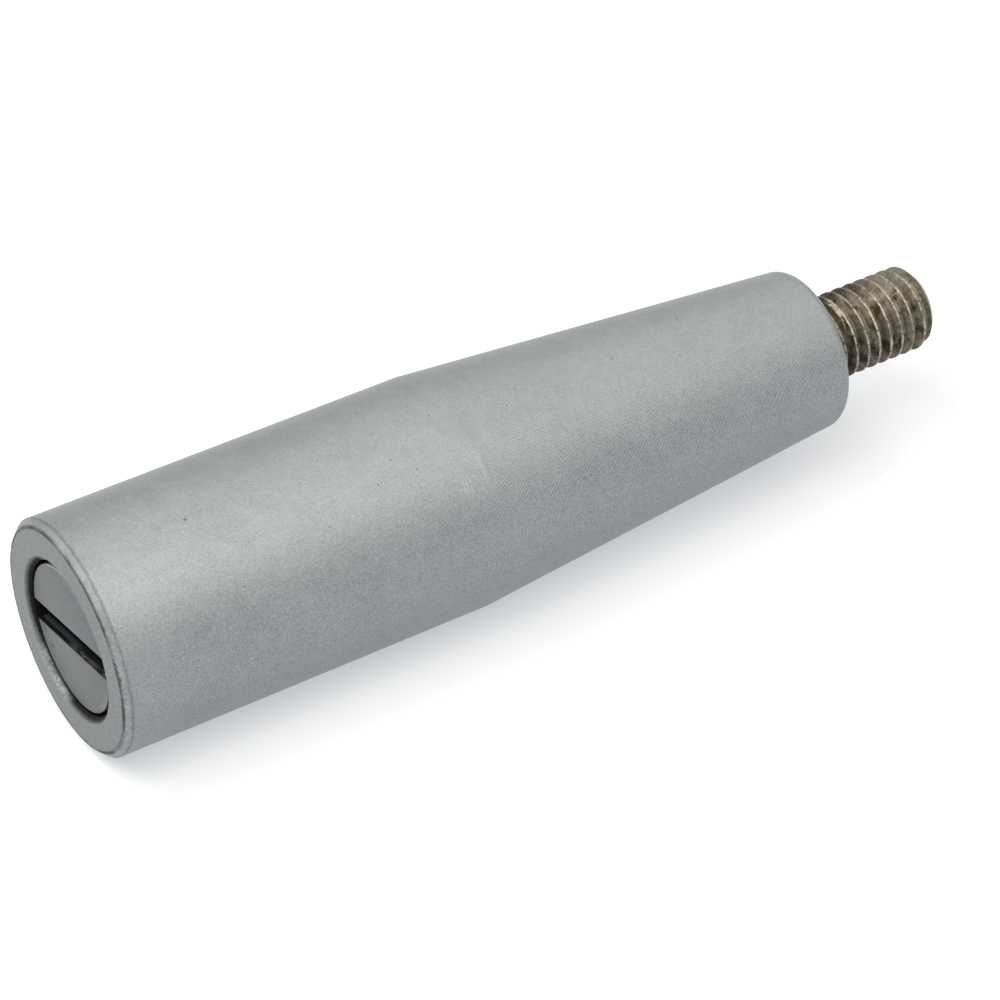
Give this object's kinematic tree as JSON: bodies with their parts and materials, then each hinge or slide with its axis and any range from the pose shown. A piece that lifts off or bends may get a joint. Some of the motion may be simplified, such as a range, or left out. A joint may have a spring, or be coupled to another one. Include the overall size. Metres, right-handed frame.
{
  "type": "revolving machine handle",
  "caption": "Crank or handwheel grip: a straight then tapered steel sleeve that spins freely on a slotted shoulder screw with a threaded stud.",
  "frame": {"origin": "centre of the sleeve's big end face, where the handle stands on its end", "axes": "+Z along the handle's axis from the slotted end to the threaded stud, +X along the driver slot"},
  "size_m": [0.0212, 0.0212, 0.0872],
  "materials": {
    "sleeve_steel": "fine blasted matt, faint turning marks on the taper",
    "spindle_steel": "blasted matt head, brownish grey thread with brighter crests",
    "spring_steel": "dull spring wire"
  },
  "bodies": {
    "spindle": {"spindle": "spindle_steel"},
    "grip": {"grip_sleeve": "sleeve_steel", "snap_ring": "spring_steel"}
  },
  "joints": [
    {"name": "grip_spin", "type": "hinge", "parent": "spindle", "child": "grip", "pos_m": [0, 0, 0.0375], "axis": [0, 0, 1], "continuous": true}
  ]
}
